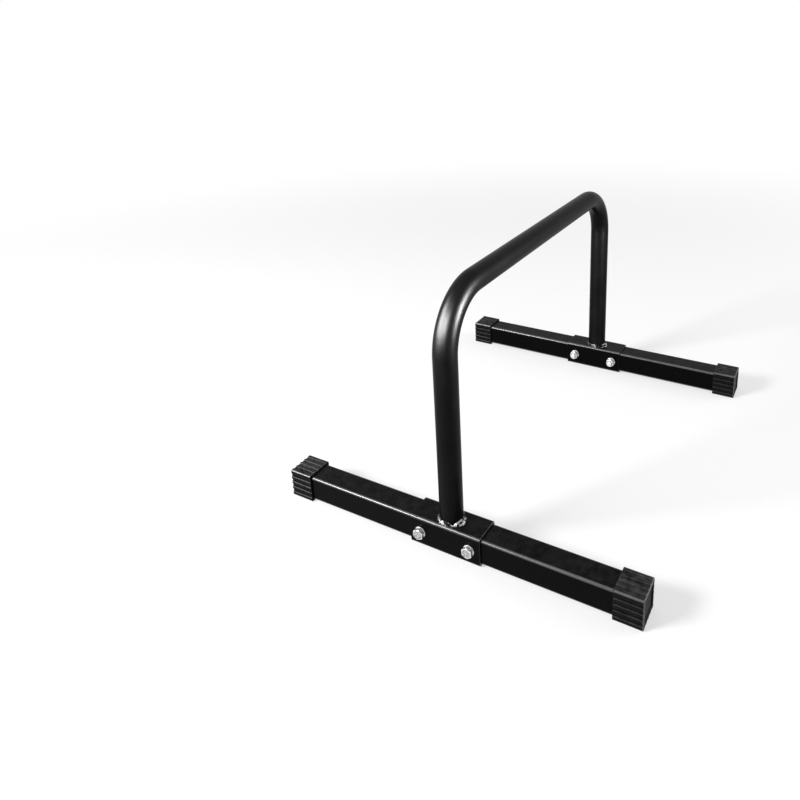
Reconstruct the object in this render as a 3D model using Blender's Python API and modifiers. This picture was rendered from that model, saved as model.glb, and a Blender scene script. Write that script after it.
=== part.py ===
"""Parallette bar: a bent grip tube welded on two square sleeves, each bolted over a capped foot tube.

Metres, +Z up. X runs along the grip, Y along the feet, and the origin is on the floor under the
middle of the bar. Front is the foot at -X, rear the one at +X, left is +Y and right is -Y.
"""

import math

import bmesh
import bpy
from mathutils import Matrix, Vector

# Overall sizes
GRIP_HEIGHT = 0.350  # top of the grip above the floor
FOOT_SPACING = 0.540  # between the two feet, axis to axis
FOOT_LENGTH = 0.500  # over both end caps

# Grip tube
GRIP_DIAMETER = 0.0305
GRIP_WALL = 0.0020
BEND_RADIUS = 0.073  # to the tube's axis
GRIP_RESOLUTION = 10  # a bevel resolution of n gives 2 n + 4 sides
BEND_STEPS = 12

# Foot tube, square
FOOT_SIDE = 0.035
FOOT_WALL = 0.0018
FOOT_INNER_CORNER = 0.0010

# Sleeve, square, which the leg stands on
SLEEVE_LENGTH = 0.100
SLEEVE_WALL = 0.0022
SLEEVE_CLEARANCE = 0.0004
SLEEVE_INNER_CORNER = 0.0012

# Rubber end caps
CAP_LENGTH = 0.035
CAP_STANDOFF = 0.0002  # of its faces past the sleeve's, so that the bar stands on its caps
CAP_END_WALL = 0.0050
CAP_CLEARANCE = 0.0003
CAP_CORNER = 0.0018
GROOVES_PER_SIDE = 4
GROOVE_BORDER = 0.0080  # from the cap's side to its outer groove's middle
GROOVE_WIDTH = 0.0050
GROOVE_DEPTH = 0.0012
GROOVE_STEPS = 4
PANEL_RIM = 0.0045  # of the end face, round its sunk square
PANEL_DEPTH = 0.0015
PANEL_CORNER = 0.0020

# Bolts M8 with flat washers and lock nuts
BOLT_DIAMETER = 0.0080
BOLT_PROTRUSION = 0.0024  # of its tip past the lock nut
BOLT_INSET = 0.015  # from the sleeve's end to the bolt's axis
BOLT_HOLE_CLEARANCE = 0.0004  # radial
HEX_STEP = 0.0004  # from the lock nut's round collar out to its flats
HEAD_HEIGHT = 0.0053
HEX_CROWN = 0.0007  # height of the chamfer that rounds off the hexagon's corners
HEX_FACE_INSET = 0.0002  # of the round top face from the flats
BOLT_TIP_CHAMFER = 0.0008
WASHER_RIM = 0.0010  # past the hexagon's flats
WASHER_THICKNESS = 0.0016
WASHER_BORE_CLEARANCE = 0.0003  # radial
NUT_HEX_HEIGHT = 0.0055
NUT_HEIGHT = 0.0080
NUT_COLLAR_WALL = 0.0008
NUT_COLLAR_LIP = 0.0005
NUT_BORE_CLEARANCE = 0.0003  # radial, stands for the thread
INSERT_WALL = 0.0007
INSERT_POCKET_DEPTH = 0.0022
INSERT_CLEARANCE = 0.0003

# Weld between leg and sleeve
WELD_WIDTH = 0.0042
WELD_HEIGHT = 0.0045
WELD_STEPS = 3

FACE_GAP = 0.0003  # left between two pieces that touch
ROUND_SIDES = 24
CORNER_STEPS = 4
CUTTER_MARGIN = 0.004
MERGE = 0.00001
SHARP_ANGLE = math.radians(35)

# Worked out
FOOT_CORNER = FOOT_INNER_CORNER + FOOT_WALL
SLEEVE_CORNER = SLEEVE_INNER_CORNER + SLEEVE_WALL
SLEEVE_SIDE = FOOT_SIDE + 2 * (SLEEVE_CLEARANCE + SLEEVE_WALL)
CAP_SIDE = SLEEVE_SIDE + 2 * CAP_STANDOFF
GROOVE_PITCH = (CAP_SIDE - 2 * GROOVE_BORDER) / max(GROOVES_PER_SIDE - 1, 1)
FOOT_AXIS = CAP_SIDE / 2
SLEEVE_TOP = FOOT_AXIS + SLEEVE_SIDE / 2
LEG_BASE = SLEEVE_TOP + FACE_GAP
GRIP_AXIS = GRIP_HEIGHT - GRIP_DIAMETER / 2
FOOT_TUBE_LENGTH = FOOT_LENGTH - 2 * (CAP_END_WALL + FACE_GAP)
BOLT_SPACING = SLEEVE_LENGTH - 2 * BOLT_INSET
BOLT_HOLE = BOLT_DIAMETER + 2 * BOLT_HOLE_CLEARANCE
WASHER_SEAT = SLEEVE_SIDE / 2 + FACE_GAP  # from the foot's axis
FASTENER_SEAT = WASHER_SEAT + WASHER_THICKNESS + FACE_GAP
BOLT_LENGTH = 2 * FASTENER_SEAT + NUT_HEIGHT + BOLT_PROTRUSION
INSERT_DIAMETER = BOLT_DIAMETER + 2 * (INSERT_CLEARANCE + INSERT_WALL)
INSERT_POCKET_DIAMETER = INSERT_DIAMETER + 2 * INSERT_CLEARANCE
NUT_COLLAR_DIAMETER = INSERT_POCKET_DIAMETER + 2 * NUT_COLLAR_WALL
HEX_ACROSS_FLATS = NUT_COLLAR_DIAMETER + 2 * HEX_STEP
HEX_ACROSS_CORNERS = HEX_ACROSS_FLATS / math.cos(math.pi / 6)
WASHER_DIAMETER = HEX_ACROSS_FLATS + 2 * WASHER_RIM
HALF_SIDES = {"left": 1, "right": -1}
FEET = {"front": -1, "rear": 1}

# Material: base colour, roughness, metallic
FINISHES = {
    "black_powder_coat": ((0.012, 0.012, 0.013), 0.38, 0.0),
    "black_rubber": ((0.028, 0.028, 0.029), 0.62, 0.0),
    "zinc_plate": ((0.72, 0.73, 0.74), 0.28, 1.0),
    "weld_metal": ((0.45, 0.45, 0.45), 0.35, 1.0),
    "nylon": ((0.10, 0.10, 0.11), 0.50, 0.0),
}


def clear_scene():
    for obj in list(bpy.data.objects):
        bpy.data.objects.remove(obj, do_unlink=True)


def new_collection(name):
    collection = bpy.data.collections.new(name)
    bpy.context.scene.collection.children.link(collection)
    return collection


def make_finishes():
    made = {}
    for name, (colour, roughness, metallic) in FINISHES.items():
        material = bpy.data.materials.new(name)
        material.use_nodes = True
        shader = material.node_tree.nodes["Principled BSDF"]
        shader.inputs["Base Color"].default_value = (*colour, 1.0)
        shader.inputs["Roughness"].default_value = roughness
        shader.inputs["Metallic"].default_value = metallic
        made[name] = material
    return made


def link(data, name, collection):
    obj = bpy.data.objects.new(name, data)
    collection.objects.link(obj)
    return obj


def mesh_from(bm, name):
    """A mesh from a bmesh, its faces turned outwards."""
    bmesh.ops.recalc_face_normals(bm, faces=bm.faces)
    mesh = bpy.data.meshes.new(name)
    bm.to_mesh(mesh)
    bm.free()
    return mesh


def baked(obj):
    """The object's evaluated mesh, loose caps welded, in world space. The object goes."""
    bpy.context.view_layer.update()
    graph = bpy.context.evaluated_depsgraph_get()
    mesh = bpy.data.meshes.new_from_object(obj.evaluated_get(graph))
    mesh.transform(obj.matrix_world)
    bm = bmesh.new()
    bm.from_mesh(mesh)
    bmesh.ops.remove_doubles(bm, verts=bm.verts, dist=MERGE)
    bm.to_mesh(mesh)
    bm.free()
    mesh.materials.clear()
    bpy.data.objects.remove(obj, do_unlink=True)
    return mesh


def finish(obj, material):
    obj.data.materials.clear()
    obj.data.materials.append(material)
    obj.data.shade_smooth()
    obj.data.set_sharp_from_angle(angle=SHARP_ANGLE)
    return obj


def boolean(obj, cutter, operation, name):
    modifier = obj.modifiers.new(name, "BOOLEAN")
    modifier.operation = operation
    modifier.object = cutter
    modifier.solver = "EXACT"


def as_cutter(mesh, name, tools):
    """A hidden helper object that holds a mesh for a Boolean."""
    obj = link(mesh, name, tools)
    obj.hide_render = True
    obj.display_type = "WIRE"
    return obj


def rounded_block(side, corner, length):
    """A bmesh block along Y whose four long edges are rounded."""
    bm = bmesh.new()
    bmesh.ops.create_cube(bm, size=1.0)
    bmesh.ops.scale(bm, vec=(side, length, side), verts=bm.verts)
    long_edges = [e for e in bm.edges if abs(e.verts[0].co.y - e.verts[1].co.y) > length / 2]
    bmesh.ops.bevel(
        bm,
        geom=long_edges,
        offset=corner,
        offset_type="OFFSET",
        segments=CORNER_STEPS,
        profile=0.5,
        affect="EDGES",
    )
    return bm


def square_tube(name, side, corner, wall, length, collection):
    """A square tube along Y: the block's skin without its ends, thickened inwards."""
    bm = rounded_block(side, corner, length)
    ends = [f for f in bm.faces if abs(f.normal.y) > 0.9]
    bmesh.ops.delete(bm, geom=ends, context="FACES")
    tube = link(mesh_from(bm, name), name, collection)
    shell = tube.modifiers.new("Wall", "SOLIDIFY")
    shell.thickness = wall
    shell.offset = -1.0
    shell.use_even_offset = True
    return tube


def round_bar(diameter, length):
    """A bmesh cylinder along X, centred."""
    bm = bmesh.new()
    bmesh.ops.create_cone(
        bm,
        cap_ends=True,
        segments=ROUND_SIDES,
        radius1=diameter / 2,
        radius2=diameter / 2,
        depth=length,
        matrix=Matrix.Rotation(math.pi / 2, 4, "Y"),
    )
    return bm


def turned(profile, name, collection, closed=False):
    """A profile of (radius, height) points turned about Z. It runs from top to bottom outside."""
    mesh = bpy.data.meshes.new(name)
    count = len(profile)
    edges = [(i, (i + 1) % count) for i in range(count if closed else count - 1)]
    mesh.from_pydata([(radius, 0.0, height) for radius, height in profile], edges, [])
    obj = link(mesh, name, collection)
    screw = obj.modifiers.new("Turn", "SCREW")
    screw.steps = ROUND_SIDES
    screw.render_steps = ROUND_SIDES
    screw.use_merge_vertices = True
    screw.merge_threshold = MERGE
    return obj


def hex_block(height, name, collection):
    """A hexagonal block on the XY plane, up along Z."""
    bm = bmesh.new()
    bmesh.ops.create_cone(
        bm,
        cap_ends=True,
        segments=6,
        radius1=HEX_ACROSS_CORNERS / 2,
        radius2=HEX_ACROSS_CORNERS / 2,
        depth=height,
        matrix=Matrix.Translation((0, 0, height / 2)),
    )
    return link(mesh_from(bm, name), name, collection)


def crown(height, below, tools):
    """The turned solid that a hexagon is cut to: its top corners fall away by HEX_CROWN."""
    reach = HEX_ACROSS_CORNERS / 2
    flat = HEX_ACROSS_FLATS / 2 - HEX_FACE_INSET
    slope = HEX_CROWN / (reach - flat)
    wide = reach + CUTTER_MARGIN
    profile = [
        (0.0, height),
        (flat, height),
        (wide, height - slope * (wide - flat)),
        (wide, below),
        (0.0, below),
    ]
    return turned(profile, "hexagon_crown", tools)


def make_grip(parts, finish_of):
    """The U: up the front leg, along the grip and down the rear leg, hollow and open at both ends."""
    half = FOOT_SPACING / 2
    points = [Vector((-half, 0.0, LEG_BASE))]
    for side, start in ((-1, math.pi), (1, math.pi / 2)):
        centre = Vector((side * (half - BEND_RADIUS), 0.0, GRIP_AXIS - BEND_RADIUS))
        for step in range(BEND_STEPS + 1):
            angle = start - step * math.pi / 2 / BEND_STEPS
            points.append(centre + BEND_RADIUS * Vector((math.cos(angle), 0.0, math.sin(angle))))
    points.append(Vector((half, 0.0, LEG_BASE)))
    curve = bpy.data.curves.new("grip_path", "CURVE")
    curve.dimensions = "3D"
    curve.bevel_depth = GRIP_DIAMETER / 2
    curve.bevel_resolution = GRIP_RESOLUTION
    spline = curve.splines.new("POLY")
    spline.points.add(len(points) - 1)
    for target, point in zip(spline.points, points, strict=True):
        target.co = (*point, 1.0)
    skin = baked(link(curve, "grip_path", parts))
    bar = link(skin, "grip_bar", parts)
    wall = bar.modifiers.new("Wall", "SOLIDIFY")
    wall.thickness = GRIP_WALL
    wall.offset = -1.0
    wall.use_even_offset = True
    return finish(bar, finish_of["black_powder_coat"])


def make_weld(foot, x, parts, tools, finish_of):
    """A fillet round the leg's base: a quarter ellipse, cut underneath by the sleeve's outside.

    Its toe comes down to where it meets the sleeve's rounded edge, or past that edge to the side.
    """
    inner = GRIP_DIAMETER / 2 + FACE_GAP
    past_flat = inner + WELD_WIDTH - (SLEEVE_SIDE / 2 - SLEEVE_CORNER)
    past_flat = min(max(past_flat, 0.0), SLEEVE_CORNER)
    drop = SLEEVE_CORNER - math.sqrt(SLEEVE_CORNER**2 - past_flat**2)
    bottom = SLEEVE_TOP - drop
    height = WELD_HEIGHT + drop
    arc = [math.pi / 2 * step / WELD_STEPS for step in range(WELD_STEPS + 1)]
    profile = [(inner + WELD_WIDTH * math.sin(a), bottom + height * math.cos(a)) for a in arc]
    profile.append((inner, bottom))
    bead = link(baked(turned(profile, "bead", parts, closed=True)), f"{foot}_weld_bead", parts)
    bead.location = (x, 0.0, 0.0)
    name = f"{foot}_sleeve_outside"
    block = rounded_block(SLEEVE_SIDE + 2 * FACE_GAP, SLEEVE_CORNER + FACE_GAP, SLEEVE_LENGTH)
    outside = as_cutter(mesh_from(block, name), name, tools)
    outside.location = (x, 0.0, FOOT_AXIS)
    boolean(bead, outside, "DIFFERENCE", "Sleeve")
    return finish(bead, finish_of["weld_metal"])


def bolt_places():
    return [(label, side * BOLT_SPACING / 2) for label, side in HALF_SIDES.items()]


def drill(tube, x, tools):
    """Two bolt holes through both walls of a tube."""
    for label, y in bolt_places():
        name = f"{tube.name}_hole_{label}"
        bar = round_bar(BOLT_HOLE, SLEEVE_SIDE + 2 * CUTTER_MARGIN)
        hole = as_cutter(mesh_from(bar, name), name, tools)
        hole.location = (x, y, FOOT_AXIS)
        boolean(tube, hole, "DIFFERENCE", f"Hole {label}")


def make_foot(foot, x, parts, tools, finish_of):
    tube = square_tube(f"{foot}_foot_tube", FOOT_SIDE, FOOT_CORNER, FOOT_WALL, FOOT_TUBE_LENGTH, parts)
    sleeve = square_tube(f"{foot}_sleeve", SLEEVE_SIDE, SLEEVE_CORNER, SLEEVE_WALL, SLEEVE_LENGTH, parts)
    for piece in (tube, sleeve):
        piece.location = (x, 0.0, FOOT_AXIS)
        drill(piece, x, tools)
        finish(piece, finish_of["black_powder_coat"])


def ribbed_outline():
    """The cap's section: a square with rounded corners and round-bottomed grooves in each side."""
    half = CAP_SIDE / 2
    radius = (GROOVE_WIDTH**2 / 4 + GROOVE_DEPTH**2) / (2 * GROOVE_DEPTH)
    reach = math.asin(GROOVE_WIDTH / 2 / radius)
    side = []
    for groove in range(GROOVES_PER_SIDE):
        middle = (groove - (GROOVES_PER_SIDE - 1) / 2) * GROOVE_PITCH
        for step in range(GROOVE_STEPS + 1):
            angle = reach * (2 * step / GROOVE_STEPS - 1)
            dip = radius * math.cos(angle) - (radius - GROOVE_DEPTH)
            side.append((middle + radius * math.sin(angle), -half + dip))
    centre = half - CAP_CORNER
    for step in range(CORNER_STEPS + 1):
        angle = math.pi / 2 * (step / CORNER_STEPS - 1)
        side.append((centre + CAP_CORNER * math.cos(angle), -centre + CAP_CORNER * math.sin(angle)))
    outline = []
    for turn in range(4):
        quarter = Matrix.Rotation(turn * math.pi / 2, 2)
        outline += [quarter @ Vector(point) for point in side]
    return outline


def cap_mesh(parts, tools):
    """One cap along Y, its closed end at +Y, the middle of its length at the origin."""
    outline = ribbed_outline()
    curve = bpy.data.curves.new("cap_section", "CURVE")
    curve.dimensions = "2D"
    curve.fill_mode = "BOTH"
    curve.extrude = CAP_LENGTH / 2
    spline = curve.splines.new("POLY")
    spline.points.add(len(outline) - 1)
    spline.use_cyclic_u = True
    for target, point in zip(spline.points, outline, strict=True):
        target.co = (point.x, point.y, 0.0, 1.0)
    section = link(curve, "cap_section", parts)
    section.rotation_euler = (math.pi / 2, 0.0, 0.0)
    cap = link(baked(section), "cap", parts)
    pocket_length = CAP_LENGTH - CAP_END_WALL + CUTTER_MARGIN
    block = rounded_block(FOOT_SIDE + 2 * CAP_CLEARANCE, FOOT_CORNER + CAP_CLEARANCE, pocket_length)
    pocket = as_cutter(mesh_from(block, "cap_pocket"), "cap_pocket", tools)
    pocket.location = (0.0, CAP_LENGTH / 2 - CAP_END_WALL - pocket_length / 2, 0.0)
    boolean(cap, pocket, "DIFFERENCE", "Pocket")
    block = rounded_block(CAP_SIDE - 2 * PANEL_RIM, PANEL_CORNER, PANEL_DEPTH + CUTTER_MARGIN)
    panel = as_cutter(mesh_from(block, "cap_panel"), "cap_panel", tools)
    panel.location = (0.0, CAP_LENGTH / 2 - PANEL_DEPTH + (PANEL_DEPTH + CUTTER_MARGIN) / 2, 0.0)
    boolean(cap, panel, "DIFFERENCE", "End panel")
    mesh = baked(cap)
    for helper in (pocket, panel):
        bpy.data.objects.remove(helper, do_unlink=True)
    return mesh


def make_caps(foot, x, mesh, parts, finish_of):
    for label, side in HALF_SIDES.items():
        cap = link(mesh, f"{foot}_cap_{label}", parts)
        cap.location = (x, side * (FOOT_LENGTH - CAP_LENGTH) / 2, FOOT_AXIS)
        cap.rotation_euler = (0.0, 0.0, 0.0 if side > 0 else math.pi)
        finish(cap, finish_of["black_rubber"])


def bolt_mesh(parts, tools):
    """A hexagon bolt along Z: its head stands on the XY plane and its shank hangs below."""
    bolt = hex_block(HEAD_HEIGHT, "bolt", parts)
    top = crown(HEAD_HEIGHT, -CUTTER_MARGIN, tools)
    top.hide_render = True
    boolean(bolt, top, "INTERSECT", "Crown")
    radius = BOLT_DIAMETER / 2
    shank = turned(
        [
            (0.0, HEAD_HEIGHT / 2),
            (radius, HEAD_HEIGHT / 2),
            (radius, BOLT_TIP_CHAMFER - BOLT_LENGTH),
            (radius - BOLT_TIP_CHAMFER, -BOLT_LENGTH),
            (0.0, -BOLT_LENGTH),
        ],
        "shank",
        tools,
    )
    shank.hide_render = True
    boolean(bolt, shank, "UNION", "Shank")
    mesh = baked(bolt)
    for helper in (top, shank):
        bpy.data.objects.remove(helper, do_unlink=True)
    return mesh


def washer_mesh(parts):
    """A flat washer standing on the XY plane."""
    outer = WASHER_DIAMETER / 2
    bore = BOLT_DIAMETER / 2 + WASHER_BORE_CLEARANCE
    profile = [
        (bore, WASHER_THICKNESS),
        (outer, WASHER_THICKNESS),
        (outer, 0.0),
        (bore, 0.0),
    ]
    return baked(turned(profile, "washer", parts, closed=True))


def nut_mesh(parts, tools):
    """A lock nut standing on the XY plane: a hexagon, a round collar above it and the ring's pocket."""
    nut = hex_block(NUT_HEX_HEIGHT, "nut", parts)
    top = crown(NUT_HEX_HEIGHT, -CUTTER_MARGIN, tools)
    boolean(nut, top, "INTERSECT", "Crown")
    collar = NUT_COLLAR_DIAMETER / 2
    bore = BOLT_DIAMETER / 2 + NUT_BORE_CLEARANCE
    pocket = INSERT_POCKET_DIAMETER / 2
    round_top = turned(
        [
            (0.0, NUT_HEIGHT),
            (collar - NUT_COLLAR_LIP, NUT_HEIGHT),
            (collar, NUT_HEIGHT - 2 * NUT_COLLAR_LIP),
            (collar, NUT_HEX_HEIGHT / 2),
            (0.0, NUT_HEX_HEIGHT / 2),
        ],
        "collar",
        tools,
    )
    boolean(nut, round_top, "UNION", "Collar")
    hollow = turned(
        [
            (0.0, NUT_HEIGHT + CUTTER_MARGIN),
            (pocket, NUT_HEIGHT + CUTTER_MARGIN),
            (pocket, NUT_HEIGHT - INSERT_POCKET_DEPTH),
            (bore, NUT_HEIGHT - INSERT_POCKET_DEPTH),
            (bore, -CUTTER_MARGIN),
            (0.0, -CUTTER_MARGIN),
        ],
        "bore",
        tools,
    )
    boolean(nut, hollow, "DIFFERENCE", "Bore and pocket")
    mesh = baked(nut)
    for helper in (top, round_top, hollow):
        bpy.data.objects.remove(helper, do_unlink=True)
    return mesh


def insert_mesh(parts):
    """The nylon ring that fills the lock nut's pocket, standing on the XY plane."""
    outer = INSERT_DIAMETER / 2
    bore = outer - INSERT_WALL
    height = INSERT_POCKET_DEPTH - 2 * FACE_GAP
    profile = [(bore, height), (outer, height), (outer, 0.0), (bore, 0.0)]
    return baked(turned(profile, "insert", parts, closed=True))


def make_fasteners(foot, x, outward, meshes, parts, finish_of):
    """Two bolts, heads on the outer face and nuts on the inner face, each with its washers."""
    insert_seat = FASTENER_SEAT + NUT_HEIGHT - INSERT_POCKET_DEPTH + FACE_GAP
    for label, y in bolt_places():
        stack = (
            (f"{foot}_bolt_{label}", "bolt", outward, FASTENER_SEAT, "zinc_plate"),
            (f"{foot}_head_washer_{label}", "washer", outward, WASHER_SEAT, "zinc_plate"),
            (f"{foot}_nut_washer_{label}", "washer", -outward, WASHER_SEAT, "zinc_plate"),
            (f"{foot}_lock_nut_{label}", "nut", -outward, FASTENER_SEAT, "zinc_plate"),
            (f"{foot}_nut_insert_{label}", "insert", -outward, insert_seat, "nylon"),
        )
        for name, kind, facing, seat, material in stack:
            piece = link(meshes[kind], name, parts)
            piece.location = (x + facing * seat, y, FOOT_AXIS)
            piece.rotation_euler = (0.0, facing * math.pi / 2, 0.0)
            finish(piece, finish_of[material])


def main():
    clear_scene()
    parts = new_collection("parallette_bar")
    tools = new_collection("cutters")
    tools.hide_render = True
    finish_of = make_finishes()
    make_grip(parts, finish_of)
    meshes = {
        "cap": cap_mesh(parts, tools),
        "bolt": bolt_mesh(parts, tools),
        "washer": washer_mesh(parts),
        "nut": nut_mesh(parts, tools),
        "insert": insert_mesh(parts),
    }
    for foot, outward in FEET.items():
        x = outward * FOOT_SPACING / 2
        make_weld(foot, x, parts, tools, finish_of)
        make_foot(foot, x, parts, tools, finish_of)
        make_caps(foot, x, meshes["cap"], parts, finish_of)
        make_fasteners(foot, x, outward, meshes, parts, finish_of)


main()
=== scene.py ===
"""Looks of the parallette bar: a bent grip tube welded on two sleeves that are bolted over foot tubes.

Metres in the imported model's frame: X runs along the grip, Y along the feet with left at +Y, Z up from
the floor. Front is the foot at -X. Each new piece is a surface on a grid of rows and columns, worked
out as whole arrays, and takes its place and its main sizes from the node that it stands for.
"""

import math

import bpy
import numpy as np
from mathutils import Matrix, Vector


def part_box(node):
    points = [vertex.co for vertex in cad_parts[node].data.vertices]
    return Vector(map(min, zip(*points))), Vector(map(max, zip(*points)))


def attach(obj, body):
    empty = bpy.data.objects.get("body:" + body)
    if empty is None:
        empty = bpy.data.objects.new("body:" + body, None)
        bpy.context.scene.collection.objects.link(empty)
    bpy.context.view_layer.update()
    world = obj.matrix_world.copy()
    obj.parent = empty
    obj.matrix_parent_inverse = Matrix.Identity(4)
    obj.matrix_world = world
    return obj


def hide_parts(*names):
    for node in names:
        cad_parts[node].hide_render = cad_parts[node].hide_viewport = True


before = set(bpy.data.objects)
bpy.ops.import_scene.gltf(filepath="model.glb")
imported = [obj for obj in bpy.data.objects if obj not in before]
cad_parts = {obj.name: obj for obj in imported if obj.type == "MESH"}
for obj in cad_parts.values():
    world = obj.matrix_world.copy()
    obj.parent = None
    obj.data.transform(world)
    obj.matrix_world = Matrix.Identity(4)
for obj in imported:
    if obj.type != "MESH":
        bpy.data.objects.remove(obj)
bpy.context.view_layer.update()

# Camera
LENS = 32.195
SENSOR = 36.0
CAMERA_PLACE = (-0.9092, -0.3996, 0.6527)
CAMERA_TURN_DEG = (73.085, 1.865, -60.285)
SHIFT = (-0.075, -0.21875)

# Grip tube
GRIP_WALL = 0.0020
BEND_RADIUS = 0.073
BEND_OVAL = 0.015  # how much the tube flattens at the middle of each bend
GRIP_SIDES = 128
BEND_ROWS = 64
STRAIGHT_ROWS = 24

# Square tubes
FOOT_WALL = 0.0018
FOOT_CORNER = 0.0028
SLEEVE_WALL = 0.0022
SLEEVE_CORNER = 0.0034
CUT_EDGE = 0.0005  # rounding of a sawn and painted end
END_SUPPORT = 0.0015  # where the flat sides start, behind a rounded end
TUBE_EDGE_REACH = 0.003  # radius of curvature that counts as a full edge on the tubes
EDGE_SOFTENING = 3  # rounds of averaging
ACROSS_SHARE = 0.3  # a mesh edge with less of its length along Y than this counts as lying across
BEND_LIMIT = 0.45  # the most of a side that one rounded bend may take
HOLE_SIDES = 48
HOLE_OVERRUN = 0.010  # how far the hole cutters stick out past the bolt
FLAT_SHARES = (-1.0, -0.965, -0.8, -0.4, 0.0, 0.4, 0.8, 0.965)
CORNER_STEPS = 12

# Rubber caps
CAP_CORNER = 0.0020
CAP_END_WALL = 0.0050
CAP_GRIP = 0.00005  # left between the cap's mouth and the tube that it squeezes
GROOVES = 4
GROOVE_BORDER = 0.0080
GROOVE_WIDTH = 0.0050
GROOVE_DEPTH = 0.0012
GROOVE_LIP = 0.00010
RIB_SAMPLES = 132
MOUTH_EDGE = 0.0006
END_EDGE = 0.0011
PANEL_RIM = 0.0045
PANEL_DEPTH = 0.0015
PANEL_EDGE = 0.0006
PANEL_CORNER = 0.0020
FACE_MIDDLE = (0.0005, 0.0001)  # half side and corner of the smallest square, round a face's middle
CAP_EDGE_REACH = 0.0016
RIB_SHARE = 0.52  # how strongly the ribs' lips count as edges
END_SHARE = 0.47  # how strongly the whole end face counts as an edge
MOUTH_GROOVE_SHARE = 0.4  # how deep the grooves are at the mouth's edge
RIM_GROOVE_SHARE = 0.3  # how deep they are on the end face's rim

# Bolts, washers and lock nuts
BOLT_RADIUS = 0.0040
BOLT_HOLE = 0.0044
THREAD_PITCH = 0.00125
THREAD_DEPTH = 0.00055
THREAD_LENGTH = 0.0060
ROWS_PER_TURN = 14
TIP_CHAMFER_LENGTH = 0.0009
TIP_CHAMFER_DEPTH = 0.0008
TIP_MIDDLE = 0.0004  # radius of the smallest ring round the tip's middle
HEX_INRADIUS = 0.0065
HEX_EDGE = 0.00045
HEX_CROWN = 0.0007
HEX_FACE_INSET = 0.0003
HEAD_HEIGHT = 0.0053
HEAD_MIDDLE = 0.0008
FASTENER_EDGE = 0.0003  # rounding of the bolt's, washers' and nylon ring's edges
WASHER_THICKNESS = 0.0016
WASHER_BORE = 0.0043
NUT_HEX_HEIGHT = 0.0055
NUT_COLLAR_RADIUS = 0.0061
NUT_LIP_RADIUS = 0.0051
NUT_BORE = 0.0043
NUT_EDGE = 0.0004
NUT_BORE_CHAMFER = 0.0004
NUT_FOOT_CHAMFER = 0.0003
LIP_SLOPE = (0.0005, 0.0002)  # how far in and how far out the rolled lip's inner side runs
LIP_THICKNESS = 0.0006
POCKET_RADIUS = 0.0053
POCKET_DEPTH = 0.0022
NYLON_GAP = 0.0001  # between the nylon ring and the bolt
FASTENER_SIDES = 144
SMALL_EDGE_REACH = 0.0008  # radius of curvature of a full edge on fasteners and welds
SEAT_GAP = 0.00005
FIRST_SPIN = 0.4  # turns of the hexagons about their axes, in radians
SIDE_SPIN = 0.9
FOOT_SPIN = 0.3
NUT_SPIN = 0.5

# Weld beads
WELD_COLUMNS = 720
WELD_ROWS = 22
WELD_WIDTH = 0.0030
WELD_HEIGHT = 0.0036
WELD_SINK = 0.0003
WELD_HOLLOW = 1.15  # power of the fall from leg to toe, above 1 for a section that sags before its bulge
WELD_UNDER_ROWS = 4
WELD_BULGE = 0.16  # height of the bulge, as a share of the smaller of width and height
BULGE_TURN = 0.7  # how much of bulge and ripples goes outwards, and as much upwards
LEFT_CHUNK_DEG = (183, 19)  # middle and spread of the thick places round the leg, from +X towards +Y
RIGHT_CHUNK_DEG = (256, 24)
DIP_DEG = (214, 11)  # and of the thin place between them
WIDTH_SHARES = (0.35, 0.15, 0.75, -0.25)  # what the wobble, the two chunks and the dip add to the width
HEIGHT_SHARES = (0.30, 0.40, 0.10, -0.45)
BARE_AND_PAINTED_HIGHLIGHT_SHARES = (0.36, 0.70, 0.12)  # metal everywhere, more on the chunks and less in the dip; partly weld metal, partly painted highlights
RIPPLES = 37
RIPPLE_HEIGHT = 0.00014
RIPPLE_BOW = 1.1
LUMP_SHARE = 1.6
# less metal on the rear weld, partly for paint run over it and partly to dim its painted highlights
REAR_WELD_COVER_AND_DIMMING = 0.22
WELD_CREASE_DEG = 80

# Light
CENTRE = (0.0, 0.0, 0.15)
FLOOR_RADIUS = 9.0
FLOOR_RINGS = 24
FLOOR_SIDES = 96
FLOOR_FADE = (0.9, 2.2)  # distances between which the floor turns plain white
FLOOR_WHITE_NEAR = 0.55  # share of plain white in the floor under the bar
WORLD_FILL = 0.30
SOFTBOXES = (  # name, place, width and height, watts
    ("key", (-1.82, 1.38, 1.37), (0.78, 0.60), 88.0),
    ("side_fill", (1.2, -1.9, 0.9), (1.4, 1.0), 26.0),
    ("overhead", (0.4, 0.1, 2.7), (1.8, 1.8), 9.0),
)
NEAR_BEND = (-0.25, 0.0, 0.25)
STRIPS = (  # name, place, aim, width and height, brightness of its face
    ("left_strip", (-1.15, 0.76, 0.89), NEAR_BEND, (1.33, 0.95), 265.0),
    ("near_strip", (-1.44, -0.08, 1.03), NEAR_BEND, (0.62, 0.70), 370.0),
    ("right_strip", (-0.07, -0.74, 0.45), (-0.12, 0.0, 0.25), (0.36, 0.36), 490.0),
)

# Sockets of the Mix node that have no names of their own
MIX_FACTOR = 0
MIX_NUMBERS = (2, 3)
MIX_COLOURS = (6, 7)
MIXED_NUMBER = 0
MIXED_COLOUR = 2


def corners(node):
    """Lowest and highest corner of a node, as arrays."""
    low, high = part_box(node)
    return np.array(low), np.array(high)


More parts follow.
